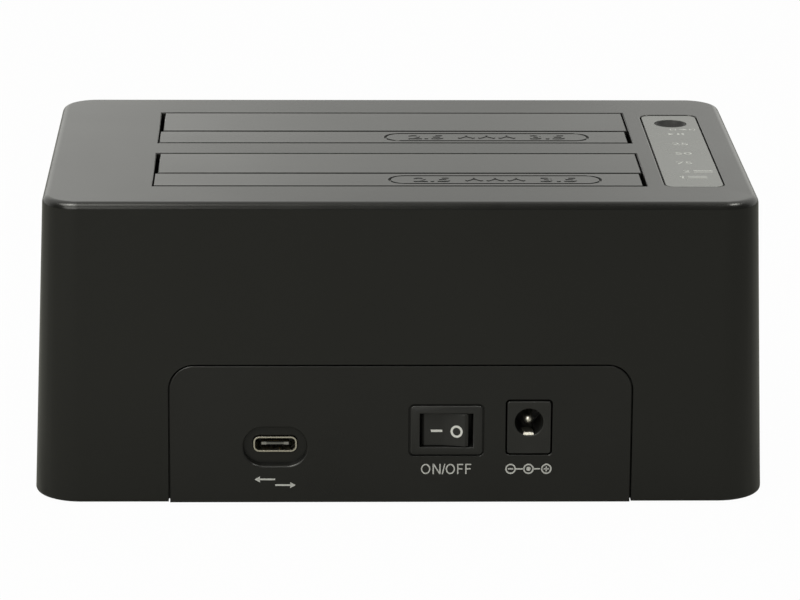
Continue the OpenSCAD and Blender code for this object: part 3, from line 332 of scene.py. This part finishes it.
# Solder mask over copper tracks; unit and depth in mm, the other sizes in units
boardLook = {"mask": (0.010, 0.075, 0.032), "track": (0.022, 0.125, 0.055), "unit": 1.6, "trackWide": 0.16,
             "trackSoft": 0.1, "long": 5.0, "row": 0.5, "shift": 0.5, "press": 0.3, "depth": 0.02, "rough": 0.34}


def boardLaminate():
    finish, tree, shader = startFinish("board_laminate")
    coords = addNode(tree, "TexCoord")
    tracks = addNode(tree, "TexBrick", {"offset": boardLook["shift"]}, Scale=1 / (boardLook["unit"] * mm),
                     Mortar_Size=boardLook["trackWide"], Mortar_Smooth=boardLook["trackSoft"],
                     Brick_Width=boardLook["long"], Row_Height=boardLook["row"], Color1=(*boardLook["mask"], 1),
                     Color2=(*boardLook["mask"], 1), Mortar=(*boardLook["track"], 1))
    wire(tree, coords, tracks, "Object", "Vector")
    wire(tree, tracks, shader, "Color", "Base Color")
    addRelief(tree, shader, boardLook, tracks, "Fac")
    shader.inputs["Roughness"].default_value = boardLook["rough"]
    return finish


# Clear moulding with a little haze
clearLook = {"tint": (0.86, 0.89, 0.92), "rough": (0.06, 0.14), "haze": 6, "through": 0.85}


def clearMoulding():
    finish, tree, shader = startFinish("clear_plastic")
    coords = addNode(tree, "TexCoord")
    haze = noise(tree, coords, clearLook["haze"])
    spread(tree, haze, *clearLook["rough"], shader, "Roughness")
    shader.inputs["Base Color"].default_value = (*clearLook["tint"], 1)
    shader.inputs["Transmission Weight"].default_value = clearLook["through"]
    return finish


# Screen-printed inks
ink = {"drift": 0.8, "rough": (0.45, 0.55), "grain": 0.12, "press": 0.3, "depth": 0.005, "ior": 1.45}
inks = {
    "panelInk": dict(ink, deep=(0.40, 0.40, 0.39), pale=(0.49, 0.49, 0.475)),
    "rockerInk": dict(ink, deep=(0.55, 0.55, 0.535), pale=(0.66, 0.66, 0.64)),
    "stripInk": dict(ink, deep=(0.27, 0.275, 0.265), pale=(0.34, 0.345, 0.335), drift=0.6, rough=(0.40, 0.50)),
}

finishes = {name: mouldedPlastic(name, look) for name, look in {**plastics, **inks}.items()}
finishes.update({name: streakedMetal(name, look) for name, look in metals.items()})
finishes["board_laminate"] = boardLaminate()
finishes["clear_plastic"] = clearMoulding()
print("finishes made:", len(finishes))


# Soft-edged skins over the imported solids, in mm and degrees

shape = {"topZ": 64.2, "rearY": -47.0, "draft": 2.1, "topNear": 0.01, "rearNear": 0.03}
pocket = {"x": -25.9, "z": 12.73, "half": (6.6, 4.2)}  # round the data socket
skinLook = {"weld": 0.002, "flat": 0.4, "crease": 38, "smooth": 34}
flaps = ("rear_narrow_flap", "rear_wide_flap", "front_narrow_flap", "front_wide_flap")


def rearY(z):
    return shape["rearY"] - (shape["topZ"] - z) * math.tan(math.radians(shape["draft"]))


def onTop(p):
    return abs(p.z - shape["topZ"]) < shape["topNear"]


def onRear(p):
    return abs(p.y - rearY(p.z)) < shape["rearNear"]


def onPocket(p):
    wide, high = pocket["half"]
    return onRear(p) and abs(p.x - pocket["x"]) < wide and abs(p.z - pocket["z"]) < high


def anywhere(p):
    return True


def bodyOf(node):
    return next(body for body, members in frame["record"]["behaviour"]["bodies"].items() if node in members)


def newObject(name, mesh, finish):
    mesh.materials.clear()
    mesh.materials.append(finishes[finish])
    piece = bpy.data.objects.new(name, mesh)
    scene.collection.objects.link(piece)
    return piece


def addPiece(name, mesh, finish, body):
    piece = newObject(name, mesh, finish)
    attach(piece, body)
    return piece


def weldedCopy(node):
    bm = bmesh.new()
    bm.from_mesh(nodes[node].data)
    bmesh.ops.remove_doubles(bm, verts=bm.verts, dist=skinLook["weld"] * mm)
    return bm


def smoothOver(bm, angle):
    for face in bm.faces:
        face.smooth = True
    for edge in bm.edges:
        edge.smooth = len(edge.link_faces) != 2 or edge.calc_face_angle(0) < math.radians(angle)


def softSkin(node, slotName, rims):
    bm = weldedCopy(node)
    bmesh.ops.dissolve_limit(bm, angle_limit=math.radians(skinLook["flat"]), verts=bm.verts, edges=bm.edges)
    crease = math.radians(skinLook["crease"])
    for where, soft, steps in rims:
        sharp = [e for e in bm.edges if len(e.link_faces) == 2 and e.is_convex
                 and e.calc_face_angle(0) > crease and all(where(v.co / mm) for v in e.verts)]
        if sharp:
            bmesh.ops.bevel(bm, geom=sharp, offset=soft * mm, offset_type="OFFSET", segments=steps, profile=0.5,
                            affect="EDGES", material=-1, clamp_overlap=True, loop_slide=True)
    smoothOver(bm, skinLook["smooth"])
    piece = addPiece(node + "_skin", toMesh(bm, node + "_skin"), slotName, bodyOf(node))
    steady = piece.modifiers.new("steadyNormals", "WEIGHTED_NORMAL")
    steady.keep_sharp = True
    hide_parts(node)


# Node: finish, then where its rims are softened, how far and in how many steps
skins = {
    "upper_housing": ("housing_plastic", [(onTop, 0.28, 3), (onRear, 0.16, 2)]),
    "rear_panel": ("panel_plastic", [(onPocket, 0.42, 4), (onRear, 0.18, 3)]),
    **{flap: ("flap_plastic", [(onTop, 0.22, 3)]) for flap in flaps},
    "indicator_strip": ("strip_plastic", [(anywhere, 0.16, 3)]),
    "copy_button": ("button_plastic", [(anywhere, 0.15, 3)]),
    "switch_housing": ("switch_plastic", [(anywhere, 0.16, 3)]),
    "switch_rocker": ("switch_plastic", [(anywhere, 0.14, 3)]),
    "power_jack_body": ("jack_plastic", [(anywhere, 0.14, 3)]),
    "data_socket_shell": ("shell_steel", [(anywhere, 0.07, 3)]),
    "data_socket_tongue": ("socket_plastic", [(anywhere, 0.06, 2)]),
    "power_jack_contact": ("pin_metal", [(anywhere, 0.12, 3)]),
    "power_jack_pin": ("pin_metal", [(anywhere, 0.05, 2)]),
    "base_plate": ("housing_plastic", [(anywhere, 0.2, 2)]),
    "rubber_feet": ("foot_rubber", [(anywhere, 0.35, 3)]),
}
for node, (slotName, rims) in skins.items():
    softSkin(node, slotName, rims)
print("skins made:", len(skins))

slots = {
    "rear_bay_well": "inner_plastic", "front_bay_well": "inner_plastic", "housing_screws": "screw_steel",
    "rear_narrow_rod": "rod_steel", "rear_wide_rod": "rod_steel", "front_narrow_rod": "rod_steel",
    "front_wide_rod": "rod_steel", "button_plunger": "button_plastic",
    "button_switch": "chip_plastic", "indicator_board": "board_laminate", "indicator_screws": "screw_steel",
    "light_pipes": "clear_plastic", "status_lights": "clear_plastic", "link_cable": "cable_plastic",
    "link_connectors": "plug_plastic", "main_board": "board_laminate", "board_screws": "screw_steel",
    "bridge_chip": "chip_plastic", "capacitors": "can_metal", "inductors": "ferrite",
    "rear_drive_socket": "socket_plastic", "front_drive_socket": "socket_plastic",
    "rear_drive_contacts": "contact_metal", "front_drive_contacts": "contact_metal",
    "switch_terminals": "contact_metal",
}
for node, slotName in slots.items():
    nodes[node].data.materials.clear()
    nodes[node].data.materials.append(finishes[slotName])
print("inner nodes finished:", len(slots))


# Torsion springs: each wire is copied with smooth shading in place of its imported node; its inner leg sits on the
# dock, its outer one on its flap
springLook = {"wire": 0.4, "smooth": 70, "finish": "rod_steel"}


def twistSpring(flap):
    spring = flap.replace("_flap", "_spring")
    bm = weldedCopy(spring)
    smoothOver(bm, springLook["smooth"])
    piece = newObject(spring + "_wire", toMesh(bm, spring + "_wire"), springLook["finish"])
    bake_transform(piece)
    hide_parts(spring)


for flap in flaps:
    twistSpring(flap)
print("springs made:", len(flaps))


# Printed and moulded marks, in mm and degrees

signLook = {"outside": 90, "weld": 0.001, "letterSteps": 6}  # outside: where the rays that find a seat start
inkDepth = {"panel": 0.04, "rocker": 0.04, "strip": 0.03}


def seatOn(node, point, aim):
    bm = bmesh.new()
    bm.from_mesh(nodes[node].data)
    tree = BVHTree.FromBMesh(bm)
    hit, normal, _, _ = tree.ray_cast(Vector(point) * mm, Vector(aim))
    bm.free()
    side = (Vector((1, 0, 0)) - normal * normal.x).normalized()
    return Matrix.Translation(hit) @ Matrix((side, normal.cross(side), normal)).transposed().to_4x4()


def seatFromRear(node, x, z):
    return seatOn(node, (x, -signLook["outside"], z), (0, 1, 0))


def seatFromAbove(node, x, y):
    return seatOn(node, (x, y, signLook["outside"]), (0, 0, -1))


def turnFlat(bm, made, turn):
    bmesh.ops.rotate(bm, verts=made, cent=(0, 0, 0), matrix=Matrix.Rotation(math.radians(turn), 3, "Z"))


def drawBar(bm, x, y, wide, high, turn=0):
    made = bmesh.ops.create_grid(bm, x_segments=1, y_segments=1, size=0.5)["verts"]
    bmesh.ops.scale(bm, verts=made, vec=(wide, high, 1))
    turnFlat(bm, made, turn)
    bmesh.ops.translate(bm, verts=made, vec=(x, y, 0))


def drawRing(bm, x, y, wide, high, stroke, corners=48, turn=0):
    loops = []
    for inset in (0, stroke):
        made = bmesh.ops.create_circle(bm, segments=corners, radius=0.5)["verts"]
        turnFlat(bm, made, turn)
        bmesh.ops.scale(bm, verts=made, vec=(wide - 2 * inset, high - 2 * inset, 1))
        bmesh.ops.translate(bm, verts=made, vec=(x, y, 0))
        loops += made
    bmesh.ops.bridge_loops(bm, edges=[e for e in bm.edges if e.verts[0] in loops])


def drawDisc(bm, x, y, wide, high, corners=32, turn=0):
    made = bmesh.ops.create_circle(bm, cap_ends=True, segments=corners, radius=0.5)["verts"]
    turnFlat(bm, made, turn)
    bmesh.ops.scale(bm, verts=made, vec=(wide, high, 1))
    bmesh.ops.translate(bm, verts=made, vec=(x, y, 0))


def drawWords(bm, x, y, wide, high, words):
    curve = bpy.data.curves.new("words", "FONT")
    curve.body = words
    curve.resolution_u = signLook["letterSteps"]
    holder = bpy.data.objects.new("words", curve)
    scene.collection.objects.link(holder)
    flat = bpy.data.meshes.new_from_object(holder.evaluated_get(bpy.context.evaluated_depsgraph_get()))
    bpy.data.objects.remove(holder)
    before = set(bm.verts)
    bm.from_mesh(flat)
    made = [v for v in bm.verts if v not in before]
    lowest = Vector(min(v.co[i] for v in made) for i in range(2))
    highest = Vector(max(v.co[i] for v in made) for i in range(2))
    middle = (lowest + highest) / 2
    bmesh.ops.translate(bm, verts=made, vec=(-middle.x, -middle.y, 0))
    bmesh.ops.scale(bm, verts=made, vec=(wide / (highest.x - lowest.x), high / (highest.y - lowest.y), 1))
    bmesh.ops.translate(bm, verts=made, vec=(x, y, 0))


brushes = {"bar": drawBar, "ring": drawRing, "disc": drawDisc, "words": drawWords}


# Flat strokes, made solid and sunk by half their depth in their seat
def laySign(name, strokes, depth, seat, finish, body):
    bm = bmesh.new()
    for kind, *numbers in strokes:
        brushes[kind](bm, *numbers)
    bmesh.ops.remove_doubles(bm, verts=bm.verts, dist=signLook["weld"])
    raised = bmesh.ops.extrude_face_region(bm, geom=bm.faces[:])["geom"]
    bmesh.ops.translate(bm, verts=[v for v in raised if isinstance(v, bmesh.types.BMVert)], vec=(0, 0, depth))
    bmesh.ops.translate(bm, verts=bm.verts, vec=(0, 0, -depth / 2))
    bmesh.ops.recalc_face_normals(bm, faces=bm.faces)
    bmesh.ops.scale(bm, verts=bm.verts, vec=(mm, mm, mm))
    bmesh.ops.transform(bm, verts=bm.verts, matrix=seat)
    addPiece(name, toMesh(bm, name), finish, body)


# Legends under the connectors: switch words, jack polarity, data both ways
# Each sign has its place, then its strokes: x, y, width, height, then turn, or stroke, corners and turn
panelSigns = {
    "switch_legend": (9.45, 7.95, [
        ("ring", -4.24, 0, 1.93, 2.2, 0.27),  # O
        ("bar", -2.66, 0, 0.27, 2.2), ("bar", -1.96, 0, 0.27, 2.45, 32), ("bar", -1.26, 0, 0.27, 2.2),  # N
        ("bar", -0.52, 0, 0.24, 2.3, -13),
        ("ring", 0.88, 0, 1.9, 2.2, 0.27),  # O
        ("bar", 2.42, 0, 0.27, 2.2), ("bar", 3.04, 0.965, 0.97, 0.27), ("bar", 2.97, 0.02, 0.83, 0.27),  # F
        ("bar", 4.1, 0, 0.27, 2.2), ("bar", 4.71, 0.965, 0.96, 0.27), ("bar", 4.65, 0.02, 0.83, 0.27)]),  # F
    "power_legend": (26.5, 7.95, [
        ("ring", -3.7, 0, 2.2, 2.2, 0.3), ("bar", -3.7, 0, 1.1, 0.28),
        ("bar", -1.75, 0, 1.75, 0.28), ("disc", 0, 0, 0.9, 0.9), ("ring", 0, 0, 2.2, 2.2, 0.3),
        ("bar", 1.75, 0, 1.35, 0.28),
        ("ring", 3.7, 0, 2.2, 2.2, 0.3), ("bar", 3.7, 0, 1.1, 0.28), ("bar", 3.7, 0, 0.28, 1.1)]),
    "data_legend": (-25.9, 5.15, [
        ("bar", -1.6, 0.62, 3.2, 0.36), ("disc", -3.5, 0.62, 1.5, 1.5, 3, 90),
        ("bar", 1.6, -0.62, 3.2, 0.36), ("disc", 3.5, -0.62, 1.5, 1.5, 3, -90)]),
}
for name, (x, z, strokes) in panelSigns.items():
    laySign(name, strokes, inkDepth["panel"], seatFromRear("rear_panel", x, z), "panelInk", "dock")

rockerSigns = {
    "rocker_bar": (7.45, 15.95, [("bar", 0, 0, 2.4, 0.50)]),
    "rocker_ring": (11.55, 15.95, [("ring", 0, 0, 2.55, 2.6, 0.46)]),
}
for name, (x, z, strokes) in rockerSigns.items():
    seat = seatFromRear("switch_rocker", x, z)
    laySign(name, strokes, inkDepth["rocker"], seat, "rockerInk", "switch_rocker")

# Strip: copy sign at the button, share of the copy done, a sign for each bay
stripSigns = {
    "copy_sign": (63.3, 17.6, [
        ("ring", -2.1, 0, 1.9, 1.9, 0.3, 4, 45), ("bar", -0.35, 0, 0.9, 0.36), ("disc", 0.45, 0, 1.4, 1.4, 3, -90),
        ("ring", 2.1, 0, 1.9, 1.9, 0.3, 4, 45)]),
    "start_sign": (61.4, 13.4, [
        ("disc", -1.1, 0, 1.9, 1.9, 3, -90), ("bar", 0.55, 0, 0.5, 1.5), ("bar", 1.55, 0, 0.5, 1.5)]),
    "share_low": (61.5, 4.3, [("words", 0, 0, 3.4, 2.0, "25")]),
    "share_half": (61.4, -4.3, [("words", 0, 0, 3.6, 2.0, "50")]),
    "share_high": (60.8, -12.7, [("words", 0, 0, 3.4, 2.0, "75")]),
    "front_bay_sign": (63.0, -20.0, [
        ("words", -2.4, 0, 1.4, 2.0, "2"), ("bar", 1.1, 0.6, 4.0, 0.45), ("bar", 1.1, -0.6, 4.0, 0.45)]),
    "rear_bay_sign": (61.4, -25.0, [
        ("bar", -2.1, 0, 0.42, 2.0), ("bar", -2.42, 0.62, 0.75, 0.36, 45), ("bar", 1.0, 0.6, 4.0, 0.45),
        ("bar", 1.0, -0.6, 4.0, 0.45)]),
}
for name, (x, y, strokes) in stripSigns.items():
    laySign(name, strokes, inkDepth["strip"], seatFromAbove("indicator_strip", x, y), "stripInk", "dock")

# Moulded on the narrow flaps: the two drive sizes and arrows into the slot
flapSign = {"x": 19.9, "y": {"rear_narrow_flap": -27.53, "front_narrow_flap": 10.07}, "depth": 0.2,
            "sizes": ((-13.2, "2.5"), (13.2, "3.5")), "sizeBox": (7.6, 3.3), "arrows": (-4.4, 0, 4.4),
            "arm": (2.6, 0.6), "armX": 0.75, "lean": 48}


def markFlaps():
    strokes = [("words", x, 0, *flapSign["sizeBox"], words) for x, words in flapSign["sizes"]]
    for step in flapSign["arrows"]:
        for side in (-1, 1):
            strokes.append(("bar", step + side * flapSign["armX"], 0, *flapSign["arm"], -side * flapSign["lean"]))
    for flap, y in flapSign["y"].items():
        seat = seatFromAbove(flap, flapSign["x"], y)
        laySign(flap + "_sign", strokes, flapSign["depth"], seat, "flap_plastic", flap)


markFlaps()
print("signs laid:", len(panelSigns) + len(rockerSigns) + len(stripSigns) + len(flapSign["y"]))


# Data socket: steel plate and lugs in the tongue's edge, contact pads above and below it; one steel in two tones,
# the plate's darker as painted shade and the lugs' lighter as painted highlight
tongue = {"x": -25.9, "y": -47.27, "z": 13.03, "plate": (3.6, 0.36), "lug": (1.0, 0.56), "plateDepth": 0.05,
          "pads": 12, "pitch": 0.45, "pad": (0.2, 2.6), "padDepth": 0.04, "padY": 1.7, "outside": 0.6}


def dressTongue():
    edge = seatFromRear("data_socket_tongue", tongue["x"], tongue["z"])
    laySign("tongue_plate", [("bar", 0, 0, *tongue["plate"])], tongue["plateDepth"], edge, "tongueSteelPaintedShade", "dock")
    lugX = (tongue["plate"][0] + tongue["lug"][0]) / 2
    lugs = [("bar", side * lugX, 0, *tongue["lug"]) for side in (-1, 1)]
    laySign("tongue_lugs", lugs, tongue["plateDepth"], edge, "lugSteelPaintedHighlight", "dock")
    row = []
    for k in range(tongue["pads"]):
        row.append(("bar", (k - (tongue["pads"] - 1) / 2) * tongue["pitch"], 0, *tongue["pad"]))
    for name, side in (("tongue_pads_upper", 1), ("tongue_pads_lower", -1)):
        middle = (tongue["x"], tongue["y"] + tongue["padY"], tongue["z"] + side * tongue["outside"])
        seat = seatOn("data_socket_tongue", middle, (0, 0, -side))
        laySign(name, row, tongue["padDepth"], seat, "contact_metal", "dock")


dressTongue()
print("data socket dressed")
